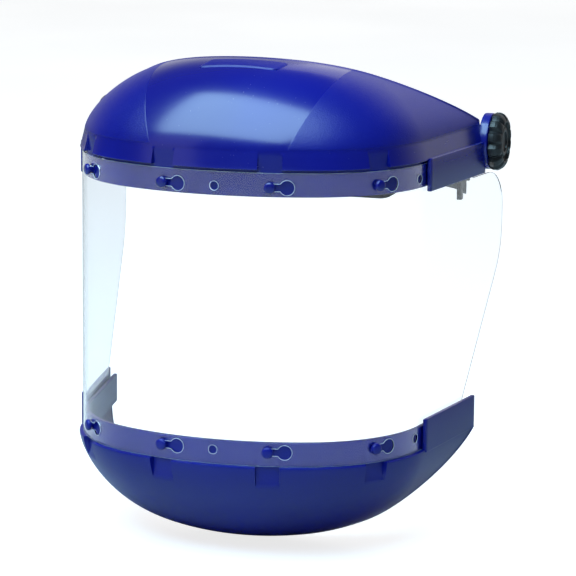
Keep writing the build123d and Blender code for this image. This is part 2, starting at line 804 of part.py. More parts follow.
def crown_strap_pivots_shape():
    """Shouldered rivets that carry the strap over the head and hold the nape strap to the headband."""
    start = head_half_width
    collar_start = start + band_thickness + part_gap + strap_thickness
    strap_in = crown_strap_half_width + crown_strap_thickness + part_gap
    pivots = []
    for side in (-1, 1):
        into = crown_strap_half_width if side > 0 else strap_in
        out = into + crown_strap_thickness + 0.1
        pivot = turned_x(strap_pivot_radius, start, out)
        pivot += turned_x(4.2, collar_start, into - 0.1)
        pivot += turned_x(4.2, out, out + 1.4)
        pivot += turned_x(3.6, start - 0.8, start)
        pivot = Pos(0, crown_strap_back, crown_strap_up) * pivot
        pivots.append(pivot if side > 0 else other_side(pivot))
    return Compound(children=pivots)


def write(name, shape):
    solids = shape.solids()
    whole = solids[0] if len(solids) == 1 else Compound(children=list(solids))
    export_step(whole, f"parts/{name}.step")


def write_pair(name, shape):
    write(name + "_left", shape)
    write(name + "_right", other_side(shape))


def main():
    os.makedirs("parts", exist_ok=True)
    write("crown", crown_shape())
    write("window", window_shape())
    write("chin_guard", chin_guard_shape())
    write_pair("pivot_bush", pivot_bush_shape())
    write_pair("pivot_bolt", pivot_bolt_shape())
    write_pair("spring_washer", spring_washer_shape())
    write_pair("tension_knob", tension_knob_shape())
    write_pair("knob_insert", knob_insert_shape())
    write_pair("pivot_bracket", pivot_bracket_shape())
    write("bracket_rivets", bracket_rivets_shape())
    write("headband", headband_shape())
    write("brow_pad", brow_pad_shape())
    write("pad_studs", pad_studs_shape())
    write_pair("nape_strap", nape_strap_shape())
    write("strap_rivets", strap_rivets_shape())
    write("ratchet_base", ratchet_base_shape())
    write("ratchet_cover", ratchet_cover_shape())
    write("ratchet_screws", ratchet_screws_shape())
    write("ratchet_pinion", ratchet_pinion_shape())
    write("ratchet_knob", ratchet_knob_shape())
    write("detent_spring", detent_spring_shape())
    write("rack_left", rack_shape())
    write("rack_right", Pos(0, 0, -nape_drop) * Rot(0, 180, 0) * Pos(0, 0, nape_drop) * rack_shape())
    write("nape_pad", nape_pad_shape())
    write("crown_strap_left", crown_strap_shape(0))
    write("crown_strap_right", other_side(crown_strap_shape(crown_strap_thickness + part_gap)))
    write("crown_strap_pins", crown_strap_pins_shape())
    write("crown_strap_pivots", crown_strap_pivots_shape())


main()
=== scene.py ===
from math import atan2, copysign, cos, degrees, pi, radians, sin, sqrt

import bmesh
import bpy
from mathutils import Matrix, Vector


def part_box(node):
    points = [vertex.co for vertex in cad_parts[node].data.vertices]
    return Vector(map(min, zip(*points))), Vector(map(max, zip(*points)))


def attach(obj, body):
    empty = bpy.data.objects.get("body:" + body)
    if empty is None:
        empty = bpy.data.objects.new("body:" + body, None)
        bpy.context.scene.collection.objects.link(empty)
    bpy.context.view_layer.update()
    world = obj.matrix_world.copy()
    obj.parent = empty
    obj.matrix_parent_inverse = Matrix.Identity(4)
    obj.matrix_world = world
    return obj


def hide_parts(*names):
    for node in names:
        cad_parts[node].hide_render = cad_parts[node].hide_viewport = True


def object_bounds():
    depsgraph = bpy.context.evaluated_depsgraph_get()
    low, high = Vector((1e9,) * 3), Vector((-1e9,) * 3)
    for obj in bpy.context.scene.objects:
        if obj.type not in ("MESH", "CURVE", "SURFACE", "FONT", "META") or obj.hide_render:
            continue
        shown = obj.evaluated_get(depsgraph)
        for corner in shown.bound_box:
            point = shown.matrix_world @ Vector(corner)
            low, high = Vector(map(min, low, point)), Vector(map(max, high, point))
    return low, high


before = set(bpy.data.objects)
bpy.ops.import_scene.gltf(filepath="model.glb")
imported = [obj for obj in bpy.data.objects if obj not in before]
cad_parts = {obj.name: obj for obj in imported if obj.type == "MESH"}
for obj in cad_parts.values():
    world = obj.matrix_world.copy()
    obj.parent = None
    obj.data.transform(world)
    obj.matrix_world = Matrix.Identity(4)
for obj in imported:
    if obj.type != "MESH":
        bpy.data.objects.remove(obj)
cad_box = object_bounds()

# Looks of the face shield. Sizes of the moulded pieces are in millimetres, and every mesh is
# written in metres. +Z is up, the shield faces -Y, the origin is the middle of the tilt pivot.
MM = 0.001

# Plan outline of the window's outer face
front_radius = 151.4
front_half_angle = 20.8
corner_radius = 76.3
side_flare = 9.1
front_setback = 162.0

# Levels and offsets shared by the crown and the chin guard
window_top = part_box("window")[1].z / MM
window_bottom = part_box("window")[0].z / MM
hole_to_edge = 8.0
keyhole_reach = 5.0
hole_back = -60.0
upper_row = window_top - hole_to_edge
lower_row = window_bottom + hole_to_edge
band_outer = -1.2
band_inner = -3.7
band_overlap = 5.4
shell_wall = 2.5
edge_round = 0.35
bead_radius = 1.75
stud_pitch = 62.6
stud_places = [stud_pitch * step for step in (-1.5, -0.5, 0.5, 1.5)]
notch_width = 13.4
notch_height = 9.8
notch_draft = 0.25

# Crown
lip_up = window_top + 1.6
skirt_stand_off = 1.2
skirt_lean = 2.5
skirt_height = 10.1
crease = lip_up + skirt_height
crown_dome = dict(rise=56.0, fullness=2.77, roundness=1.46, back_slope=0.223, side_drop=0.192,
                  centre=39.0, level=crease, up=1, offset=skirt_stand_off - skirt_lean,
                  cut_back=44.5, cut_lean=1.94, cut_level=30.0)
crown_end = 216.0
panel_start = 136.0
panel_inner = 0.4
panel_outer = 2.8
panel_depth = 17.0
gloss_half_width = 39.5
gloss_flare = 0.42
ear_radius = 16.5
ear_thickness = 5.4
plate_half_width = 23.5
plate_front = -117.0
plate_back = -103.5
plate_raised = 0.7

# Chin guard
lip_down = window_bottom - 0.4
bowl_stand_off = 2.2
chin_bowl = dict(rise=68.9, fullness=3.4, roundness=1.5, back_slope=0.205, side_drop=0.165,
                 centre=13.7, level=lip_down, up=-1, offset=bowl_stand_off,
                 cut_back=21.0, cut_lean=-1.25, cut_level=lip_down)
chin_end = 207.0
wing_height = 18.0

# Knobs
tension_lobes = 12
ratchet_lobes = 16
lobe_steps = 12
tension_lobe_depth = 1.8
ratchet_lobe_depth = 1.0
rim_radius = 0.12

# Pads
head_half_width = 86.0
head_side_start = 30.0
head_front = 98.0
pad_thickness = 8.0
pad_height = 30.0
pad_half_angle = 62.0
stitch_gap = 3.2


# ---------------------------------------------------------------- shader tools
def add(tree, kind, inputs=None, **settings):
    """A node with its settings, and its inputs set or linked."""
    made = tree.nodes.new(kind)
    for key, value in settings.items():
        setattr(made, key, value)
    for key, value in (inputs or {}).items():
        socket = made.inputs[key]
        if isinstance(value, bpy.types.NodeSocket):
            tree.links.new(value, socket)
        else:
            socket.default_value = value
    return made


def maths(tree, operation, first, second=0.0, third=0.0):
    made = add(tree, "ShaderNodeMath", {0: first, 1: second, 2: third}, operation=operation)
    return made.outputs[0]


def ramp(tree, value, low, high, to_low=0.0, to_high=1.0):
    """A value carried smoothly from one range to another."""
    made = add(tree, "ShaderNodeMapRange", {"Value": value, "From Min": low, "From Max": high,
                                            "To Min": to_low, "To Max": to_high},
               interpolation_type="SMOOTHSTEP")
    return made.outputs["Result"]


def blend_colour(tree, factor, first, second):
    return add(tree, "ShaderNodeMix", {0: factor, 6: first, 7: second}, data_type="RGBA").outputs[2]


def bump_by(tree, shader, strength, distance, height):
    bump = add(tree, "ShaderNodeBump", {"Strength": strength, "Distance": distance, "Height": height})
    tree.links.new(bump.outputs[0], shader.inputs["Normal"])


def looked_at(tree):
    """1 for rays from the camera, straight or through the clear sheet."""
    path = tree.nodes.new("ShaderNodeLightPath")
    return maths(tree, "MAXIMUM", path.outputs["Is Camera Ray"], path.outputs["Is Transmission Ray"])


def effect(name, inputs, outputs):
    """An empty shader node group with named sockets."""
    tree = bpy.data.node_groups.new(name, "ShaderNodeTree")
    for label, kind, value in inputs:
        socket = tree.interface.new_socket(label, in_out="INPUT", socket_type=kind)
        if value is not None:
            socket.default_value = value
    for label, kind in outputs:
        tree.interface.new_socket(label, in_out="OUTPUT", socket_type=kind)
    return tree, tree.nodes.new("NodeGroupInput"), tree.nodes.new("NodeGroupOutput")


def moulded_grain():
    """Spark-eroded mould texture: rounded bumps of mixed size."""
    tree, given, result = effect(
        "moulded_grain", [("Vector", "NodeSocketVector", None), ("Size", "NodeSocketFloat", 900.0)],
        [("Height", "NodeSocketFloat"), ("Speckle", "NodeSocketFloat")])
    vector, size = given.outputs["Vector"], given.outputs["Size"]
    coarse = add(tree, "ShaderNodeTexNoise", {"Vector": vector, "Scale": size, "Detail": 3.0,
                                              "Roughness": 0.62})
    finer = maths(tree, "MULTIPLY", size, 1.35)
    pits = add(tree, "ShaderNodeTexVoronoi", {"Vector": vector, "Scale": finer}, feature="SMOOTH_F1")
    height = maths(tree, "MULTIPLY_ADD", pits.outputs["Distance"], 0.55, coarse.outputs[0])
    tree.links.new(height, result.inputs["Height"])
    tree.links.new(ramp(tree, coarse.outputs[0], 0.42, 0.66), result.inputs["Speckle"])
    return tree


def handling_marks():
    """Fine hairline scratches and a faint film of dust."""
    tree, given, result = effect(
        "handling_marks", [("Vector", "NodeSocketVector", None), ("Amount", "NodeSocketFloat", 0.5)],
        [("Scratch", "NodeSocketFloat"), ("Film", "NodeSocketFloat"), ("Patch", "NodeSocketFloat")])
    scratches = None
    for turn, stretch in ((0.35, 5.0), (1.25, 7.0), (2.3, 6.0)):
        turned = add(tree, "ShaderNodeMapping",
                     {"Vector": given.outputs["Vector"], "Rotation": (turn, 0.4, turn),
                      "Scale": (900.0, 900.0 / stretch / 6, 900.0)})
        streak = add(tree, "ShaderNodeTexNoise", {"Vector": turned.outputs[0], "Scale": 0.8, "Detail": 1.0})
        line = ramp(tree, streak.outputs[0], 0.72, 0.8)
        scratches = line if scratches is None else maths(tree, "MAXIMUM", scratches, line)
    film = add(tree, "ShaderNodeTexNoise", {"Vector": given.outputs["Vector"], "Scale": 26.0, "Detail": 5.0,
                                            "Roughness": 0.6})
    patch = add(tree, "ShaderNodeTexNoise", {"Vector": given.outputs["Vector"], "Scale": 9.0, "Detail": 2.0})
    amount = given.outputs["Amount"]
    tree.links.new(maths(tree, "MULTIPLY", scratches, amount), result.inputs["Scratch"])
    dust = ramp(tree, film.outputs[0], 0.4, 0.75)
    tree.links.new(maths(tree, "MULTIPLY", dust, amount), result.inputs["Film"])
    tree.links.new(ramp(tree, patch.outputs[0], 0.35, 0.65), result.inputs["Patch"])
    return tree


def knitted_cloth():
    """Rows of small knit loops, seen as slanted pairs of bumps."""
    tree, given, result = effect(
        "knitted_cloth", [("Vector", "NodeSocketVector", None), ("Pitch", "NodeSocketFloat", 0.0011)],
        [("Height", "NodeSocketFloat"), ("Thread", "NodeSocketFloat")])
    parts = add(tree, "ShaderNodeSeparateXYZ", {0: given.outputs["Vector"]})
    per = maths(tree, "DIVIDE", 2 * pi, given.outputs["Pitch"])
    across = maths(tree, "ADD", parts.outputs[0], parts.outputs[1])
    column = maths(tree, "SINE", maths(tree, "MULTIPLY", across, per))
    slant = maths(tree, "MULTIPLY", maths(tree, "ABSOLUTE", column), 1.4)
    row = maths(tree, "SINE", maths(tree, "MULTIPLY_ADD", parts.outputs[2], per, slant))
    loops = maths(tree, "MULTIPLY", maths(tree, "ABSOLUTE", column), ramp(tree, row, -1.0, 1.0))
    fluff = add(tree, "ShaderNodeTexNoise",
                {"Vector": given.outputs["Vector"], "Scale": 1800.0, "Detail": 4.0})
    height = maths(tree, "MULTIPLY_ADD", fluff.outputs[0], 0.35, loops)
    tree.links.new(height, result.inputs["Height"])
    tree.links.new(loops, result.inputs["Thread"])
    return tree


GRAIN = moulded_grain()
MARKS = handling_marks()
KNIT = knitted_cloth()


def place_group(tree, group, inputs):
    return add(tree, "ShaderNodeGroup", inputs, node_tree=group)


def fresh_material(name, **constants):
    """A material with its Principled shader, its tree and the object's own coordinates."""
    material = bpy.data.materials.new(name)
    material.use_nodes = True
    tree = material.node_tree
    shader = tree.nodes["Principled BSDF"]
    for key, value in constants.items():
        shader.inputs[key.replace("_", " ")].default_value = value
    place = tree.nodes.new("ShaderNodeTexCoord").outputs["Object"]
    return material, tree, shader, place


def blue_moulding(name, half_width, grain_above, grain_depth, grain_roughness):
    """Royal blue moulding, polished in the middle and on its skirt, and grained on its flanks."""
    material, tree, shader, place = fresh_material(name, Specular_IOR_Level=0.42, Coat_Roughness=0.16)
    grain = place_group(tree, GRAIN, {"Vector": place, "Size": 1150.0})
    marks = place_group(tree, MARKS, {"Vector": place, "Amount": 0.5})
    where = add(tree, "ShaderNodeSeparateXYZ", {0: place})
    flare = maths(tree, "MULTIPLY_ADD", where.outputs[2], -gloss_flare, gloss_flare * crease * MM)
    beside = maths(tree, "ADD", maths(tree, "ABSOLUTE", where.outputs[0]), flare)
    flank = ramp(tree, beside, half_width - 0.0003, half_width + 0.0003)
    zone = maths(tree, "MULTIPLY", flank, ramp(tree, where.outputs[2], grain_above, grain_above + 0.0012))
    deep, clear = (0.0006, 0.0035, 0.16, 1.0), (0.001, 0.006, 0.22, 1.0)
    tone = blend_colour(tree, marks.outputs["Patch"], deep, clear)
    speckle = maths(tree, "MULTIPLY", grain.outputs["Speckle"], maths(tree, "MULTIPLY", zone, 0.35))
    speckled = blend_colour(tree, speckle, tone, (0.0015, 0.008, 0.24, 1.0))
    dust = maths(tree, "MULTIPLY", marks.outputs["Film"], 0.015)
    dusty = blend_colour(tree, dust, speckled, (0.3, 0.4, 0.6, 1.0))
    tree.links.new(dusty, shader.inputs["Base Color"])
    polish = maths(tree, "MULTIPLY_ADD", marks.outputs["Film"], 0.06, 0.23)
    polish = maths(tree, "MULTIPLY_ADD", marks.outputs["Scratch"], 0.08, polish)
    tree.links.new(maths(tree, "MULTIPLY_ADD", zone, grain_roughness, polish), shader.inputs["Roughness"])
    tree.links.new(maths(tree, "MULTIPLY_ADD", zone, -0.45, 0.45), shader.inputs["Coat Weight"])
    height = maths(tree, "MULTIPLY_ADD", grain.outputs["Height"], zone,
                   maths(tree, "MULTIPLY", marks.outputs["Scratch"], -0.02))
    bump_by(tree, shader, 0.5, grain_depth, height)
    return material


def black_plastic(name, colour, roughness, grain_size, grain_depth):
    """Moulded black plastic with a fine grain, hairlines and a little dust."""
    material, tree, shader, place = fresh_material(name, Specular_IOR_Level=0.45)
    grain = place_group(tree, GRAIN, {"Vector": place, "Size": grain_size})
    marks = place_group(tree, MARKS, {"Vector": place, "Amount": 0.8})
    lighter = tuple(value * 1.9 + 0.004 for value in colour) + (1.0,)
    speckle = maths(tree, "MULTIPLY", grain.outputs["Speckle"], 0.5)
    tone = blend_colour(tree, speckle, colour + (1.0,), lighter)
    dust = maths(tree, "MULTIPLY", marks.outputs["Film"], 0.05)
    dusty = blend_colour(tree, dust, tone, (0.3, 0.3, 0.32, 1.0))
    tree.links.new(dusty, shader.inputs["Base Color"])
    worn = maths(tree, "MULTIPLY_ADD", marks.outputs["Film"], 0.12, roughness)
    worn = maths(tree, "MULTIPLY_ADD", marks.outputs["Scratch"], -0.12, worn)
    tree.links.new(worn, shader.inputs["Roughness"])
    height = maths(tree, "MULTIPLY_ADD", marks.outputs["Scratch"], -0.3, grain.outputs["Height"])
    bump_by(tree, shader, 0.5, grain_depth, height)
    return material


def turned_metal(name, colour, roughness, stretch):
    """Plated or machined metal with drawn lines and a slight stain."""
    material, tree, shader, place = fresh_material(name, Metallic=1.0)
    marks = place_group(tree, MARKS, {"Vector": place, "Amount": 1.0})
    lined = add(tree, "ShaderNodeMapping", {"Vector": place, "Scale": stretch})
    lines = add(tree, "ShaderNodeTexNoise", {"Vector": lined.outputs[0], "Scale": 1.0, "Detail": 3.0})
    dark = tuple(value * 0.72 for value in colour) + (1.0,)
    tone = blend_colour(tree, lines.outputs[0], dark, colour + (1.0,))
    tree.links.new(blend_colour(tree, maths(tree, "MULTIPLY", marks.outputs["Film"], 0.25), tone, dark),
                   shader.inputs["Base Color"])
    tree.links.new(maths(tree, "MULTIPLY_ADD", lines.outputs[0], 0.2, roughness), shader.inputs["Roughness"])
    bump_by(tree, shader, 0.25, 0.0001, lines.outputs[0])
    return material


def knit_material():
    """Charcoal knitted cloth over foam."""
    material, tree, shader, place = fresh_material("charcoal_knit", Sheen_Weight=0.35, Sheen_Roughness=0.5)
    knit = place_group(tree, KNIT, {"Vector": place, "Pitch": 0.0013})
    marks = place_group(tree, MARKS, {"Vector": place, "Amount": 0.6})
    tone = blend_colour(tree, knit.outputs["Thread"], (0.012, 0.012, 0.014, 1.0), (0.07, 0.07, 0.078, 1.0))
    tree.links.new(blend_colour(tree, maths(tree, "MULTIPLY", marks.outputs["Patch"], 0.25), tone,
                                (0.03, 0.03, 0.036, 1.0)), shader.inputs["Base Color"])
    tree.links.new(ramp(tree, knit.outputs["Thread"], 0.0, 1.0, 0.95, 0.75), shader.inputs["Roughness"])
    bump_by(tree, shader, 0.9, 0.0004, knit.outputs["Height"])
    return material


def thread_material():
    """Twisted sewing thread."""
    material, tree, shader, place = fresh_material("grey_thread", Sheen_Weight=0.2)
    wave = add(tree, "ShaderNodeTexWave", {"Vector": place, "Scale": 900.0, "Distortion": 1.5})
    twist = wave.outputs["Factor" if "Factor" in wave.outputs else "Fac"]
    tree.links.new(blend_colour(tree, twist, (0.08, 0.08, 0.09, 1.0), (0.2, 0.2, 0.22, 1.0)),
                   shader.inputs["Base Color"])
    tree.links.new(ramp(tree, twist, 0.0, 1.0, 0.8, 0.65), shader.inputs["Roughness"])
    return material


def clear_sheet():
    """Polycarbonate with a trace of blue and faint haze."""
    material, tree, shader, place = fresh_material("clear_polycarbonate", Transmission_Weight=1.0, IOR=1.35)
    marks = place_group(tree, MARKS, {"Vector": place, "Amount": 0.35})
    tint = blend_colour(tree, marks.outputs["Film"], (0.975, 0.985, 1.0, 1.0), (0.955, 0.965, 0.985, 1.0))
    tree.links.new(tint, shader.inputs["Base Color"])
    haze = maths(tree, "MULTIPLY_ADD", marks.outputs["Film"], 0.012, 0.004)
    tree.links.new(haze, shader.inputs["Roughness"])
    bump_by(tree, shader, 0.015, 0.0001, marks.outputs["Patch"])
    return material


def cut_edge(name, dark, pale):
    """Cut edge of the clear sheet, polished with a little haze. Its colour is painted light: it runs between a
    dark and a pale painted tone that stand in for the shade and the highlight seen on the edge.
    """
    material, tree, shader, place = fresh_material(name, IOR=1.5)
    haze = add(tree, "ShaderNodeTexNoise", {"Vector": place, "Scale": 700.0, "Detail": 2.0})
    # The haze noise also mixes the two painted tones: painted highlight on the hole rims, painted shade along
    # the outline.
    tree.links.new(blend_colour(tree, haze.outputs[0], dark, pale), shader.inputs["Base Color"])
    tree.links.new(ramp(tree, haze.outputs[0], 0.3, 0.7, 0.18, 0.35), shader.inputs["Roughness"])
    return material


EVERYWHERE = -1.0
BLUE_CROWN = blue_moulding("royal_blue_crown", gloss_half_width * MM, crease * MM + 0.0004, 0.00028, 0.1)
BLUE_CHIN = blue_moulding("royal_blue_chin", EVERYWHERE, EVERYWHERE, 0.00006, 0.08)
BLUE_GRAINED = blue_moulding("royal_blue_grained", EVERYWHERE, EVERYWHERE, 0.0003, 0.14)
NYLON = black_plastic("satin_black_nylon", (0.006, 0.006, 0.007), 0.34, 1500.0, 0.00008)
STRAP = black_plastic("soft_black_strap", (0.009, 0.009, 0.011), 0.45, 1100.0, 0.00012)
KNOB = black_plastic("grained_black_knob", (0.004, 0.004, 0.005), 0.28, 1300.0, 0.00008)
STEEL = turned_metal("zinc_plated_steel", (0.6, 0.6, 0.58), 0.22, (400.0, 2400.0, 2400.0))
BRASS = turned_metal("machined_brass", (0.7, 0.5, 0.22), 0.25, (1800.0, 500.0, 500.0))
CLOTH = knit_material()
THREAD = thread_material()
CLEAR = clear_sheet()
# Painted highlight: the hole rims are coloured pale to near white to stand in for light caught by the cut
# edges.
PAINTED_GLINT_RIM = cut_edge("painted_glint_hole_edge", (0.5, 0.58, 0.75, 1.0), (0.95, 0.97, 1.0, 1.0))
# Painted shade: the outline rims are coloured dark blue-grey to stand in for the dark line along the sheet's
# edge.
PAINTED_SHADE_SHEET_EDGE = cut_edge("painted_shade_sheet_edge", (0.1, 0.14, 0.22, 1.0), (0.3, 0.38, 0.5, 1.0))


# ---------------------------------------------------------------- mesh tools
class Skins:
    """Gathers closed skins, in millimetres, into one mesh."""

    def __init__(self):
        self.points = []
        self.faces = []

    def loft(self, loops, ring=False):
        """Skin through equal loops of points, capped at both ends unless it is a ring."""
        count = len(loops[0])
        first = len(self.points)
        self.points += [point for loop in loops for point in loop]
        for here in range(len(loops) - 1 + ring):
            a = first + here * count
            b = first + (here + 1) % len(loops) * count
            self.faces += [(a + i, a + (i + 1) % count, b + (i + 1) % count, b + i) for i in range(count)]
        if not ring:
            last = first + (len(loops) - 1) * count
            self.faces += [tuple(range(first, first + count)), tuple(range(last, last + count))]

    def finish(self, name, material, sharp=35.0):
        mesh = bpy.data.meshes.new(name)
        mesh.from_pydata([Vector(point) * MM for point in self.points], [], self.faces)
        shell = bmesh.new()
        shell.from_mesh(mesh)
        bmesh.ops.remove_doubles(shell, verts=shell.verts, dist=0.000002)
        bmesh.ops.recalc_face_normals(shell, faces=shell.faces)
        bmesh.ops.triangulate(shell, faces=[face for face in shell.faces if len(face.verts) > 4])
        shell.to_mesh(mesh)
        shell.free()
        mesh.materials.append(material)
        smooth_by_angle(mesh, sharp)
        return stand(name, mesh)


def stand(name, data):
    """A new object in the scene."""
    piece = bpy.data.objects.new(name, data)
    bpy.context.scene.collection.objects.link(piece)
    return piece


def signed_power(value, power):
    return copysign(abs(value) ** power, value)


def smooth_by_angle(mesh, sharp):
    mesh.shade_smooth()
    mesh.set_sharp_from_angle(angle=radians(sharp))


def rounded_section(low, high, round_by=0.45, steps=3):
    """Corners (a, b) of a rectangle between two corners, rounded."""
    points = []
    corners = ((high[0], high[1], 0), (low[0], high[1], 90), (low[0], low[1], 180), (high[0], low[1], 270))
    for a, b, turn in corners:
        inner_a = a - round_by if a == high[0] else a + round_by
        inner_b = b - round_by if b == high[1] else b + round_by
        for step in range(steps + 1):
            angle = radians(turn + 90 * step / steps)
            points.append((inner_a + round_by * cos(angle), inner_b + round_by * sin(angle)))
    return points


def turning(skins, profile, to_place, lobes=0, depth=0.0, segments=48):
    """Turned form from a profile of (radius, along, share of lobe), closed where the radius is nothing."""
    loops = []
    for radius, along, share in profile:
        loop = []
        for step in range(segments):
            angle = 2 * pi * step / segments
            hollow = max(0.0, cos(lobes * angle)) ** 1.3 * depth * share if lobes else 0.0
            loop.append(to_place((radius - hollow) * cos(angle), (radius - hollow) * sin(angle), along))
        loops.append(loop)
    skins.loft(loops)


# ---------------------------------------------------------------- moulded shells
def outline_point(place, offset=0.0):
    """Point and heading at a distance along the window's outer face, and off it by an offset."""
    along = abs(place)
    side = 1 if place >= 0 else -1
    front_length = front_radius * radians(front_half_angle)
    corner_turn = 90 - side_flare - front_half_angle
    arc_length = front_length + corner_radius * radians(corner_turn)
    if along <= front_length:
        turn = degrees(along / front_radius)
    else:
        turn = front_half_angle + min(degrees((along - front_length) / corner_radius), corner_turn)
    turned = radians(min(turn, front_half_angle))
    heading = radians(turn)
    x = front_radius * sin(turned)
    y = front_radius * (1 - cos(turned))
    if turn > front_half_angle:
        x += corner_radius * (sin(heading) - sin(turned))
        y += corner_radius * (cos(turned) - cos(heading))
    straight = max(along - arc_length, 0)
    x += straight * cos(heading) + offset * sin(heading)
    y += straight * sin(heading) - offset * cos(heading)
    return side * x, y - front_setback, side * turn


def domed(shape, place, inward):
    """Point of a domed shell, on the line from the outline in to its centre."""
    edge_x, edge_y, _ = outline_point(place, shape["offset"])
    x = edge_x * (1 - inward)
    y = edge_y + (-shape["centre"] - edge_y) * inward
    height = shape["rise"] * (1 - (1 - inward) ** shape["fullness"]) ** (1 / shape["roundness"])
    height *= 1 - shape["side_drop"] * (x / 110) ** 2
    height -= shape["back_slope"] * inward * max(y + front_setback, 0)
    return Vector((x, y, shape["level"] + shape["up"] * height))


def domed_frame(shape, place, inward):
    """Outward normal of a domed shell, and its direction away from the outline."""
    step = 0.0004
    low = max(inward - step, 0.00002)
    along = domed(shape, place + 0.2, low) - domed(shape, place - 0.2, low)
    up = domed(shape, place, low + 2 * step) - domed(shape, place, low)
    normal = along.cross(up).normalized() * shape["up"]
    return normal, up.normalized()


def past_cut(shape, point):
    """How far a point lies behind the plane that ends the shell."""
    return point.y + shape["cut_back"] + shape["cut_lean"] * (point.z - shape["cut_level"])


def find_share(test):
    """Smallest share between nothing and one where the test turns true."""
    low, high = 0.0, 1.0
    for _ in range(30):
        middle = (low + high) / 2
        if test(middle):
            high = middle
        else:
            low = middle
    return high


def recess(place):
    """1 inside a stud's mould relief, 0 outside it."""
    nearest = min(abs(place - stud) for stud in stud_places)
    return min(max((notch_width / 2 + notch_draft / 2 - nearest) / notch_draft, 0.0), 1.0)


def columns(end, pitch=2.0):
    """Places along the outline, with one each side of every relief's edge."""
    count = round(end / pitch)
    places = [end * step / count for step in range(-count, count + 1)]
    edges = [stud + side * (notch_width / 2 + shift * notch_draft) for stud in stud_places
             for side in (-1, 1) for shift in (-0.5, 0.5)]
    places = [place for place in places if all(abs(place - edge) > 0.4 for edge in edges)]
    return sorted(places + edges)


def upright(place, offset, level):
    x, y, _ = outline_point(place, offset)
    return Vector((x, y, level))


def rear_bead(point, normal, away):
    """Round bead along the shell's rear edge."""
    centre = point - normal * (shell_wall / 2)
    turns = [radians(-38 + 256 * step / 9) for step in range(10)]
    return [centre + (away * sin(turn) + normal * cos(turn)) * bead_radius for turn in turns]


def crown_loop(place):
    """One closed section of the crown: lens band, lip, skirt, dome, bead and the inner face."""
    sunk = recess(place)
    foot = upper_row - band_overlap
    rows = [(band_outer - edge_round, foot), (band_outer, foot + edge_round),
            (band_outer, (foot + lip_up) / 2), (band_outer, lip_up - 0.1), (band_outer + 0.1, lip_up),
            (skirt_stand_off - edge_round, lip_up),
            (skirt_stand_off - 0.1, lip_up + 0.12), (skirt_stand_off, lip_up + edge_round)]
    for step in range(1, 9):
        rise = skirt_height * step / 8
        rows.append((skirt_stand_off - skirt_lean * rise / skirt_height, lip_up + rise))
    loop = []
    for offset, level in rows:
        if level < lip_up + notch_height:
            offset += (min(offset, band_outer) - offset) * sunk
        loop.append(upright(place, offset, level))
    cut = find_share(lambda share: past_cut(crown_dome, domed(crown_dome, place, share)) > 0)
    shares = [cut * (step / 44) ** 2 for step in range(1, 45)]
    skin = [(domed(crown_dome, place, share), *domed_frame(crown_dome, place, share)) for share in shares]
    loop += [point for point, _, _ in skin[:-2]]
    loop += rear_bead(*skin[-1])
    loop += [point - normal * shell_wall for point, normal, _ in reversed(skin[:-2])]
    levels = (lip_up + 4, lip_up, (foot + lip_up) / 2, foot + edge_round)
    loop += [upright(place, band_inner, level) for level in levels]
    loop.append(upright(place, band_inner + edge_round, foot))
    return loop


def chin_loop(place):
    """One closed section of the chin guard: lens band, lip, bowl, bead and the inner face."""
    sunk = recess(place)
    head = lower_row + band_overlap
    rows = [(band_outer - edge_round, head), (band_outer, head - edge_round),
            (band_outer, (head + lip_down) / 2), (band_outer, lip_down + 0.1),
            (band_outer + 0.1, lip_down), (bowl_stand_off - 0.5, lip_down),
            (bowl_stand_off - 0.15, lip_down - 0.15)]
    loop = [upright(place, offset + (min(offset, band_outer) - offset) * sunk, level)
            for offset, level in rows]
    cut = find_share(lambda share: past_cut(chin_bowl, domed(chin_bowl, place, share)) > 0)
    foot = lip_down - notch_height
    relief = min(find_share(lambda share: domed(chin_bowl, place, share).z < foot), cut * 0.5)
    shares = [relief * (step / 8) ** 2 for step in range(1, 9)]
    shares += [relief + (cut - relief) * (step / 36) ** 1.3 for step in range(1, 37)]
    skin = [(domed(chin_bowl, place, share), *domed_frame(chin_bowl, place, share)) for share in shares]
    back = []
    for number, (point, normal, _) in enumerate(skin[:-2]):
        inner = point - normal * shell_wall
        if number < 8:
            point = point.lerp(upright(place, band_outer, point.z), sunk)
            inner = inner.lerp(upright(place, band_inner, inner.z), sunk)
        loop.append(point)
        back.append(inner)
    loop += rear_bead(*skin[-1])
    loop += reversed(back)
    levels = (lip_down - 3, lip_down, (head + lip_down) / 2, head - edge_round)
    loop += [upright(place, band_inner, level) for level in levels]
    loop.append(upright(place, band_inner + edge_round, head))
    return loop


def strip(skins, inner, outer, low, high, start, end, round_by=0.5):
    """Flat moulded strip that follows the outline, with its edges rounded."""
    count = max(round(abs(end - start) / 2.5), 2)
    stops = [(0.0, round_by * 0.9), (0.15 * round_by, round_by * 0.45), (round_by, 0.0)]
    along = [(start + (end - start) * step / count, 0.0) for step in range(1, count)]
    side = 1 if end > start else -1
    stations = [(start + side * shift, inset) for shift, inset in stops] + along
    stations += [(end - side * shift, inset) for shift, inset in reversed(stops)]
    loops = []
    for place, inset in stations:
        section = rounded_section((inner + inset, low + inset), (outer - inset, high - inset), round_by * 0.9)
        loops.append([upright(place, offset, level) for offset, level in section])
    skins.loft(loops)


def on_side(side):
    """Puts a turned form on the pivot axis, with its length pointing out of the head."""
    return lambda a, b, along: (side * along, a, b)


def crown_ears(skins):
    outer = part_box("crown")[1].x / MM
    inner = outer - ear_thickness
    corner = [(0.8, 0.0), (0.2, 0.3), (0.0, 0.9)]
    profile = [(0.0, inner, 0), *((ear_radius - a, inner + b, 0) for a, b in corner)]
    profile += [*((ear_radius - a, outer - b, 0) for a, b in reversed(corner)), (0.0, outer, 0)]
    for side in (-1, 1):
        turning(skins, profile, on_side(side), segments=72)


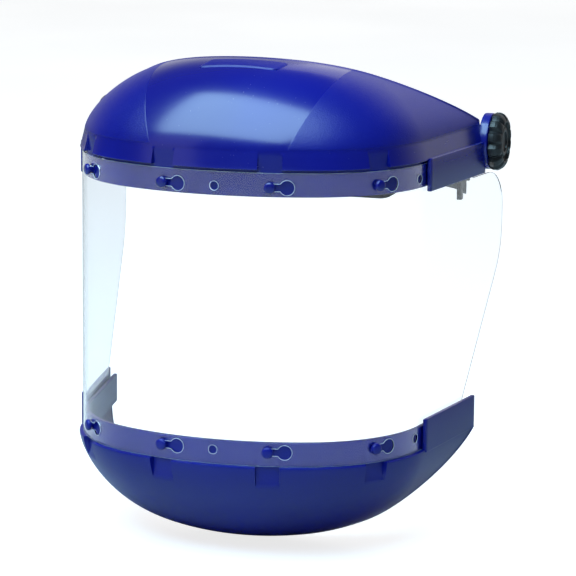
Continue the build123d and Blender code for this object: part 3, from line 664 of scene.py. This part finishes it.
def crown_plate(skins):
    """Raised plain plate on top of the crown."""
    across, deep = 48, 14

    def surface(x, y):
        reach = sqrt(x * x + (y + crown_dome["centre"]) ** 2)
        heading = atan2(abs(x), -(y + crown_dome["centre"]))

        def beyond(share):
            edge_x, edge_y, _ = outline_point(share * 150, crown_dome["offset"])
            return atan2(edge_x, -(edge_y + crown_dome["centre"])) > heading

        place = find_share(beyond) * 150 * (1 if x >= 0 else -1)
        edge_x, edge_y, _ = outline_point(place, crown_dome["offset"])
        inward = 1 - reach / sqrt(edge_x ** 2 + (edge_y + crown_dome["centre"]) ** 2)
        return domed(crown_dome, place, inward), domed_frame(crown_dome, place, inward)[0]

    loops = []
    for i in range(across + 1):
        u = -1 + 2 * i / across
        top, under = [], []
        for j in range(deep + 1):
            v = -1 + 2 * j / deep
            corner = (abs(u) ** 10 + abs(v) ** 6) ** (1 / 8)
            shrink = 1 / max(corner, 1.0)
            x = u * shrink * plate_half_width + 1.8 * v
            y = (plate_front + plate_back) / 2 + v * shrink * (plate_back - plate_front) / 2
            point, normal = surface(x, y)
            edge = min(max((1 - max(abs(u), abs(v))) / 0.12, 0.0), 1.0)
            top.append(point + normal * plate_raised * (1 - (1 - edge) ** 2))
            under.append(point - normal * 0.6)
        loops.append(top + under[::-1])
    skins.loft(loops)


def make_crown():
    skins = Skins()
    skins.loft([crown_loop(place) for place in columns(crown_end)])
    for side in (-1, 1):
        start, end = side * panel_start, side * crown_end
        strip(skins, panel_inner, panel_outer, -panel_depth, lip_up + 1, start, end)
        strip(skins, band_inner + 1, panel_outer - 0.3, lip_up, lip_up + 0.95, start, end, 0.4)
    crown_ears(skins)
    return skins.finish("crown_shell", BLUE_CROWN)


def make_chin_guard():
    skins = Skins()
    skins.loft([chin_loop(place) for place in columns(chin_end)])
    for side in (-1, 1):
        strip(skins, panel_inner, panel_outer, lip_down - 1.5, lip_down + wing_height, side * panel_start,
              side * chin_end)
    return skins.finish("chin_shell", BLUE_CHIN)


def make_plate():
    skins = Skins()
    crown_plate(skins)
    return skins.finish("crown_plate", BLUE_GRAINED)


# ---------------------------------------------------------------- repeated pieces
def geometry_tree(name, inputs):
    tree = bpy.data.node_groups.new(name, "GeometryNodeTree")
    tree.interface.new_socket("Geometry", in_out="INPUT", socket_type="NodeSocketGeometry")
    for label, kind in inputs:
        tree.interface.new_socket(label, in_out="INPUT", socket_type=kind)
    tree.interface.new_socket("Geometry", in_out="OUTPUT", socket_type="NodeSocketGeometry")
    return tree, tree.nodes.new("NodeGroupInput"), tree.nodes.new("NodeGroupOutput")


def set_out_tree():
    """Sets a part out on points, its Z axis along each point's own direction."""
    tree, given, result = geometry_tree(
        "set_out", [("Part", "NodeSocketObject"), ("Finish", "NodeSocketMaterial"),
                    ("Size", "NodeSocketFloat")])
    part = add(tree, "GeometryNodeObjectInfo", {"Object": given.outputs["Part"]})
    heading = add(tree, "GeometryNodeInputNamedAttribute", {"Name": "heading"}, data_type="FLOAT_VECTOR")
    turned = add(tree, "FunctionNodeAlignRotationToVector", {"Vector": heading.outputs[0]}, axis="Z")
    placed = add(tree, "GeometryNodeInstanceOnPoints",
                 {"Points": given.outputs["Geometry"], "Instance": part.outputs["Geometry"],
                  "Rotation": turned.outputs[0], "Scale": given.outputs["Size"]})
    real = add(tree, "GeometryNodeRealizeInstances", {"Geometry": placed.outputs[0]})
    finished = add(tree, "GeometryNodeSetMaterial",
                   {"Geometry": real.outputs[0], "Material": given.outputs["Finish"]})
    tree.links.new(finished.outputs[0], result.inputs[0])
    return tree


def tube_tree():
    """Thin round rim along loose edges."""
    tree, given, result = geometry_tree("rim_along_edges", [("Radius", "NodeSocketFloat"),
                                                            ("Finish", "NodeSocketMaterial")])
    line = add(tree, "GeometryNodeMeshToCurve", {"Mesh": given.outputs["Geometry"]})
    ring = add(tree, "GeometryNodeCurvePrimitiveCircle", {"Resolution": 6, "Radius": given.outputs["Radius"]})
    tube = add(tree, "GeometryNodeCurveToMesh", {"Curve": line.outputs[0], "Profile Curve": ring.outputs[0],
                                                 "Fill Caps": True})
    real = add(tree, "GeometryNodeRealizeInstances", {"Geometry": tube.outputs[0]})
    finished = add(tree, "GeometryNodeSetMaterial",
                   {"Geometry": real.outputs[0], "Material": given.outputs["Finish"]})
    tree.links.new(finished.outputs[0], result.inputs[0])
    return tree


SET_OUT = set_out_tree()
RIM_ALONG_EDGES = tube_tree()


def grow(name, source, tree, values, sharp=40.0):
    """Runs a tree on a mesh, and keeps the result as a plain mesh."""
    host = stand(name + "_host", source)
    modifier = host.modifiers.new("grow", "NODES")
    modifier.node_group = tree
    sockets = {item.name: item.identifier for item in tree.interface.items_tree if item.in_out == "INPUT"}
    for label, value in values.items():
        modifier[sockets[label]] = value
    evaluated = host.evaluated_get(bpy.context.evaluated_depsgraph_get())
    mesh = bpy.data.meshes.new_from_object(evaluated)
    bpy.data.objects.remove(host)
    mesh.name = name
    smooth_by_angle(mesh, sharp)
    return stand(name, mesh)


def set_out(name, spots, part, material, sharp=40.0):
    """Copies of a part at (point, direction) spots, in millimetres."""
    mesh = bpy.data.meshes.new(name + "_spots")
    mesh.from_pydata([Vector(point) * MM for point, _ in spots], [], [])
    heading = mesh.attributes.new("heading", "FLOAT_VECTOR", "POINT")
    for number, (_, direction) in enumerate(spots):
        heading.data[number].vector = direction
    piece = grow(name, mesh, SET_OUT, {"Part": part, "Finish": material, "Size": 1.0}, sharp)
    bpy.data.objects.remove(part)
    return piece


def stud_part(material):
    """Moulded mushroom stud."""
    skins = Skins()
    profile = [(0.0, 0.0, 0), (1.9, 0.0, 0), (1.9, 1.7, 0), (3.0, 1.75, 0), (3.2, 1.95, 0),
               (3.25, 2.4, 0), (3.22, 3.0, 0), (3.0, 3.55, 0), (2.5, 3.9, 0), (1.6, 4.08, 0),
               (0.8, 4.12, 0), (0.0, 4.12, 0)]
    turning(skins, profile, lambda a, b, along: (a, b, along), segments=36)
    return skins.finish("stud_part", material, 50.0)


def stud_row(name, level, material):
    spots = []
    for place in stud_places:
        x, y, turn = outline_point(place, band_outer - 0.1)
        spots.append(((x, y, level), (sin(radians(turn)), -cos(radians(turn)), 0.0)))
    return set_out(name, spots, stud_part(material), material)


def stitch_part():
    skins = Skins()
    profile = [(0.0, -1.15, 0), (0.22, -1.0, 0), (0.36, -0.5, 0), (0.38, 0.0, 0), (0.36, 0.5, 0),
               (0.22, 1.0, 0),
               (0.0, 1.15, 0)]
    turning(skins, profile, lambda a, b, along: (a, b, along), segments=8)
    return skins.finish("stitch_part", THREAD, 80.0)


# ---------------------------------------------------------------- window
def make_window():
    """The clear sheet, smoothed over its bend, and the rims of its holes and of its outline: thin tubes that
    carry a painted highlight round the holes and painted shade along the outline.
    """
    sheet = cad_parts["window"].data.copy()
    shell = bmesh.new()
    shell.from_mesh(sheet)
    bmesh.ops.remove_doubles(shell, verts=shell.verts, dist=0.000002)
    shell.edges.ensure_lookup_table()
    corners = [edge for edge in shell.edges
               if len(edge.link_faces) == 2 and edge.calc_face_angle(0) > radians(50)]
    rims = [edge for edge in corners if all(nearest_outline(vert.co)[0] > -0.5 for vert in edge.verts)]
    wires = [edge_wire("hole_edges", [edge for edge in rims if in_hole_row(edge)]),
             edge_wire("sheet_edges", [edge for edge in rims if not in_hole_row(edge)])]
    shell.to_mesh(sheet)
    shell.free()
    sheet.materials.clear()
    sheet.materials.append(CLEAR)
    sheet.shade_smooth()
    facing = [nearest_outline(vert.co)[1] for vert in sheet.vertices]
    normals = []
    for polygon in sheet.polygons:
        for number in polygon.vertices:
            lean = facing[number].dot(polygon.normal)
            normals.append(facing[number] * copysign(1.0, lean) if abs(lean) > 0.7 else polygon.normal)
    sheet.normals_split_custom_set(normals)
    pane = stand("window_pane", sheet)
    # The hole rims carry a painted highlight and the outline rims carry painted shade.
    edgings = [grow(name, wire, RIM_ALONG_EDGES, {"Radius": rim_radius * MM, "Finish": finish}, 80.0)
               for name, wire, finish in (("hole_rims", wires[0], PAINTED_GLINT_RIM), ("sheet_rims", wires[1], PAINTED_SHADE_SHEET_EDGE))]
    return pane, edgings


def in_hole_row(edge):
    """Whether an edge belongs to a hole, and not to the sheet's own outline."""
    middle = (edge.verts[0].co + edge.verts[1].co) / 2 / MM
    return min(abs(middle.z - upper_row), abs(middle.z - lower_row)) < keyhole_reach and middle.y < hole_back


def edge_wire(name, edges):
    """A mesh of loose edges."""
    index = {}
    for edge in edges:
        for vert in edge.verts:
            index.setdefault(vert, len(index))
    wire = bpy.data.meshes.new(name)
    wire.from_pydata([tuple(vert.co) for vert in index],
                     [[index[vert] for vert in edge.verts] for edge in edges], [])
    return wire


def nearest_outline(point):
    """How far a point stands off the window's outer face, in millimetres, and the face's direction."""
    def gap(place):
        x, y, _ = outline_point(place)
        return (point.x / MM - x) ** 2 + (point.y / MM - y) ** 2

    best = min(range(-250, 251, 5), key=gap)
    low, high = best - 5.0, best + 5.0
    for _ in range(22):
        third = (high - low) / 3
        if gap(low + third) < gap(high - third):
            high -= third
        else:
            low += third
    x, y, turn = outline_point((low + high) / 2)
    out = Vector((sin(radians(turn)), -cos(radians(turn)), 0.0))
    return out.dot(Vector((point.x / MM - x, point.y / MM - y, 0.0))), out


# ---------------------------------------------------------------- knobs
def make_tension_knob(side):
    """Scalloped knob with a dished face and a raised ring round its middle."""
    low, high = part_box("tension_knob_left")[0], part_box("tension_knob_left")[1]
    inner, outer, radius = low.x / MM, high.x / MM, 17.0
    profile = [(0.0, inner, 0), (radius - 1.4, inner, 0.9), (radius - 0.3, inner + 0.35, 1),
               (radius, inner + 1.1, 1), (radius, inner + 3.4, 1), (radius - 0.25, inner + 3.75, 1),
               (radius - 0.3, inner + 4.2, 1), (radius - 0.9, inner + 5.3, 1),
               (radius - 2.1, inner + 6.5, 0.95), (radius - 3.4, outer - 0.25, 0.85),
               (radius - 4.3, outer, 0.6), (12.0, outer, 0.3), (11.6, outer - 0.15, 0.1),
               (11.4, outer - 0.6, 0),
               (11.1, outer - 1.5, 0), (10.8, outer - 1.7, 0), (8.6, outer - 1.7, 0), (8.3, outer - 1.55, 0),
               (8.15, outer - 0.9, 0), (7.8, outer - 0.75, 0), (6.4, outer - 0.75, 0), (6.0, outer - 0.95, 0),
               (5.8, outer - 1.6, 0), (5.4, outer - 1.8, 0), (0.0, outer - 1.8, 0)]
    skins = Skins()
    turning(skins, profile, on_side(side), tension_lobes, tension_lobe_depth,
            tension_lobes * lobe_steps)
    return skins.finish("knob_grip_" + ("left" if side > 0 else "right"), KNOB)


def make_ratchet_knob():
    low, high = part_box("ratchet_knob")[0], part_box("ratchet_knob")[1]
    near, far, radius = low.y / MM, high.y / MM, 16.0
    level = (low.z + high.z) / 2 / MM
    profile = [(0.0, near, 0), (radius - 1.2, near, 1), (radius - 0.2, near + 0.3, 1),
               (radius, near + 1.2, 1),
               (radius - 0.1, near + 8.6, 1), (radius - 0.5, near + 10.2, 1), (radius - 1.5, far - 0.5, 0.9),
               (radius - 2.6, far, 0.6), (11.8, far, 0.2), (11.2, far - 0.3, 0), (10.9, far - 1.1, 0),
               (10.4, far - 1.2, 0), (5.0, far - 1.25, 0), (4.6, far - 1.0, 0), (0.0, far - 0.9, 0)]
    skins = Skins()
    turning(skins, profile, lambda a, b, along: (a, along, level + b), ratchet_lobes,
            ratchet_lobe_depth, ratchet_lobes * lobe_steps)
    return skins.finish("ratchet_grip", KNOB)


# ---------------------------------------------------------------- pads
def inflate(piece, voxel, pressure, reach, frames=16):
    """Swells a closed skin as foam does in its cloth cover, with no point moving further than reach."""
    remesh = piece.modifiers.new("even_mesh", "REMESH")
    remesh.mode = "VOXEL"
    remesh.voxel_size = voxel
    source = bpy.data.meshes.new_from_object(piece.evaluated_get(bpy.context.evaluated_depsgraph_get()))
    piece.modifiers.clear()
    finish = piece.data.materials[0]
    piece.data = source
    cloth = piece.modifiers.new("cover", "CLOTH")
    settings = cloth.settings
    settings.quality = 5
    settings.mass = 0.2
    settings.tension_stiffness = 18.0
    settings.compression_stiffness = 18.0
    settings.bending_stiffness = 1.5
    settings.use_pressure = True
    settings.uniform_pressure_force = pressure
    settings.effector_weights.gravity = 0.0
    scene = bpy.context.scene
    cloth.point_cache.frame_start = 1
    cloth.point_cache.frame_end = frames
    for moment in range(1, frames + 1):
        scene.frame_set(moment)
    swollen = bpy.data.meshes.new_from_object(piece.evaluated_get(bpy.context.evaluated_depsgraph_get()))
    before = [vert.co.copy() for vert in source.vertices]
    piece.modifiers.clear()
    for vert, start in zip(swollen.vertices, before):
        move = vert.co - start
        if move.length > reach:
            vert.co = start + move.normalized() * reach
    piece.data = swollen
    piece.data.materials.clear()
    piece.data.materials.append(finish)
    scene.frame_set(1)
    smoother = piece.modifiers.new("rounded", "SUBSURF")
    smoother.levels = smoother.render_levels = 1
    smooth_by_angle(piece.data, 180.0)


def brow_frame(turn, inset):
    """Point and outward direction on the headband's inner face, at a turn in degrees from the front."""
    angle = radians(turn)
    deep = head_front - head_side_start
    out = Vector((sin(angle) / head_half_width, -cos(angle) / deep, 0)).normalized()
    point = Vector((head_half_width * sin(angle), -head_side_start - deep * cos(angle), 0))
    return point - out * inset, out


def brow_section(turn, ends):
    """Section of the brow pad: flat against the band, crowned towards the head, with sewn-in edges."""
    shrink = 1 - 0.35 * ends
    channel = 1 - 0.22 * max(0.0, cos(radians(turn * 360 / 31))) ** 6
    loop = []
    steps = 28
    for step in range(steps):
        angle = 2 * pi * step / steps
        reach_in = (pad_thickness - 2.2) / 2
        shape_in = signed_power(cos(angle), 0.8)
        shape_up = signed_power(sin(angle), 0.55)
        crown = channel if shape_in > 0 else 1.0
        inset = 1.3 + reach_in + shape_in * reach_in * shrink * crown
        point, _ = brow_frame(turn, inset)
        loop.append((point.x, point.y, shape_up * (pad_height / 2 - 1.6) * (1 - 0.12 * ends)))
    return loop


def make_brow_pad():
    skins = Skins()
    count = 96
    loops = []
    limit = pad_half_angle - 1.5
    for step in range(count + 1):
        share = -1 + 2 * step / count
        ends = max(0.0, (abs(share) - 0.95) / 0.05) ** 2
        loops.append(brow_section(share * limit, ends))
    skins.loft(loops)
    pad = skins.finish("brow_cushion", CLOTH, 60.0)
    inflate(pad, 0.0022, 1.6, 0.0012)
    return pad


def make_brow_stitches():
    """Two rows of lockstitch round the brow pad's cover."""
    spots = []
    for level in (-pad_height / 2 + 3.4, pad_height / 2 - 3.4):
        turn = -pad_half_angle + 5
        while turn < pad_half_angle - 5:
            here, out = brow_frame(turn, pad_thickness - 1.15)
            ahead, _ = brow_frame(turn + 0.5, pad_thickness - 1.15)
            spots.append(((here.x, here.y, level), tuple((ahead - here).normalized())))
            turn += degrees(stitch_gap / 78.0)
    return set_out("brow_stitches", spots, stitch_part(), THREAD, 80.0)


def make_nape_pad():
    low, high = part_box("nape_pad")[0] / MM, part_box("nape_pad")[1] / MM
    skins = Skins()
    middle = (low + high) / 2
    half = (high - low) / 2
    loops = []
    for step in range(61):
        u = -1 + 2 * step / 60
        tall = (1 - abs(u) ** 5) ** 0.5 * (half.z - 0.8) + 0.05
        loop = []
        for turn in range(24):
            angle = 2 * pi * turn / 24
            shape_up = signed_power(sin(angle), 0.6)
            deep = (half.y - 0.6) * (1 - 0.8 * abs(u) ** 6) * (1 - 0.3 * max(0.0, cos(pi * u * 4)) ** 8)
            loop.append((middle.x + u * (half.x - 0.8), middle.y + cos(angle) * deep,
                         middle.z + shape_up * tall))
        loops.append(loop)
    skins.loft(loops)
    pad = skins.finish("nape_cushion", CLOTH, 60.0)
    inflate(pad, 0.0018, 1.4, 0.0006)
    return pad


# ---------------------------------------------------------------- put together
def dress(names, material):
    """Gives CAD nodes their finish."""
    for name in names:
        mesh_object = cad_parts[name]
        if not mesh_object.material_slots:
            mesh_object.data.materials.append(material)
        for slot in mesh_object.material_slots:
            slot.material = material


def settle(piece, body, slot, *nodes):
    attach(piece, body)
    if nodes:
        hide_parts(*nodes)


def both(name):
    return [name + "_left", name + "_right"]


dress(both("pivot_bush") + both("pivot_bracket"), NYLON)
dress(["bracket_rivets", "pad_studs", "strap_rivets", "ratchet_base", "ratchet_cover", "ratchet_pinion",
       "detent_spring", "crown_strap_pins", "crown_strap_pivots"], NYLON)
dress(["headband"] + both("nape_strap") + both("rack") + both("crown_strap"), STRAP)
dress(both("pivot_bolt") + both("spring_washer") + ["ratchet_screws"], STEEL)
dress(both("knob_insert"), BRASS)

settle(make_crown(), "visor", "blue_shell", "crown")
settle(make_plate(), "visor", "blue_shell")
settle(stud_row("crown_studs", upper_row, BLUE_CROWN), "visor", "blue_shell")
settle(make_chin_guard(), "visor", "blue_shell", "chin_guard")
settle(stud_row("chin_studs", lower_row, BLUE_CHIN), "visor", "blue_shell")
window_pane, window_rims = make_window()
settle(window_pane, "visor", "clear_window", "window")
for edging in window_rims:
    settle(edging, "visor", "clear_window")
for side, hand in ((1, "left"), (-1, "right")):
    settle(make_tension_knob(side), hand + "_knob", "black_knob", "tension_knob_" + hand)
settle(make_ratchet_knob(), "ratchet_dial", "black_knob", "ratchet_knob")
brow_cushion = make_brow_pad()
settle(brow_cushion, "headgear", "pad_cloth", "brow_pad")
settle(make_brow_stitches(), "headgear", "pad_cloth")
nape_cushion = make_nape_pad()
settle(nape_cushion, "headgear", "pad_cloth", "nape_pad")


# ---------------------------------------------------------------- floor, light and camera
def make_floor():
    level = cad_box[0][2] - 0.0006
    mesh = bpy.data.meshes.new("floor")
    half = 6.0
    corners = [(-half, -half, level), (half, -half, level), (half, half, level), (-half, half, level)]
    mesh.from_pydata(corners, [], [(0, 1, 2, 3)])
    floor = stand("floor", mesh)
    material, tree, shader, place = fresh_material("pale_floor", Specular_IOR_Level=0.3)
    shade = add(tree, "ShaderNodeTexNoise", {"Vector": place, "Scale": 3.0, "Detail": 3.0})
    tree.links.new(blend_colour(tree, shade.outputs[0], (0.54, 0.545, 0.555, 1.0), (0.57, 0.575, 0.58, 1.0)),
                   shader.inputs["Base Color"])
    tree.links.new(ramp(tree, shade.outputs[0], 0.3, 0.7, 0.28, 0.34), shader.inputs["Roughness"])
    shader.inputs["Emission Color"].default_value = (1.0, 1.0, 1.0, 1.0)
    tree.links.new(maths(tree, "MULTIPLY", looked_at(tree), 0.78), shader.inputs["Emission Strength"])
    mesh.materials.append(material)


def make_world():
    """White as a backdrop, and a dim light that is brightest low down behind the shield."""
    world = bpy.data.worlds.new("studio")
    bpy.context.scene.world = world
    world.use_nodes = True
    tree = world.node_tree
    background = tree.nodes["Background"]
    background.inputs["Color"].default_value = (1.0, 1.0, 1.0, 1.0)
    up = add(tree, "ShaderNodeSeparateXYZ", {0: tree.nodes.new("ShaderNodeTexCoord").outputs["Generated"]})
    back = ramp(tree, up.outputs[1], 0.1, 0.8)
    behind = maths(tree, "MULTIPLY", back, ramp(tree, up.outputs[2], 0.0, 0.55, 1.0, 0.0))
    dim = maths(tree, "MULTIPLY_ADD", behind, 0.5, 0.08)
    strength = maths(tree, "MAXIMUM", looked_at(tree), dim)
    tree.links.new(strength, background.inputs["Strength"])


def area_light(name, place, target, size, energy, colour=(1.0, 1.0, 1.0)):
    data = bpy.data.lights.new(name, "AREA")
    data.shape = "RECTANGLE"
    data.size, data.size_y = size
    data.energy = energy
    data.color = colour
    lamp = stand(name, data)
    lamp.location = place
    lamp.rotation_euler = (Vector(target) - Vector(place)).to_track_quat("-Z", "Y").to_euler()


def make_camera():
    azimuth, elevation, roll = radians(17.068), radians(10.992), radians(0.545)
    data = bpy.data.cameras.new("camera")
    data.sensor_width = 36.0
    data.lens = 186.17
    camera = stand("camera", data)
    turned = Matrix.Rotation(azimuth, 4, "Z") @ Matrix.Rotation(pi / 2 - elevation, 4, "X")
    camera.matrix_world = Matrix.Translation((0.5133, -1.6935, 0.2479)) @ turned @ Matrix.Rotation(roll, 4, "Z")
    bpy.context.scene.camera = camera


make_floor()
make_world()
area_light("overhead_softbox", (-0.25, -0.75, 1.35), (0.0, -0.12, 0.05), (1.7, 1.4), 58.0, (0.5, 0.82, 1.0))
area_light("front_fill", (-1.3, -1.6, 0.5), (0.0, -0.1, -0.05), (0.9, 1.4), 2.0)
area_light("rim_light", (0.3, 1.6, 0.9), (0.0, 0.0, 0.0), (1.6, 0.9), 3.0)
make_camera()
bpy.context.scene.view_settings.view_transform = "Standard"
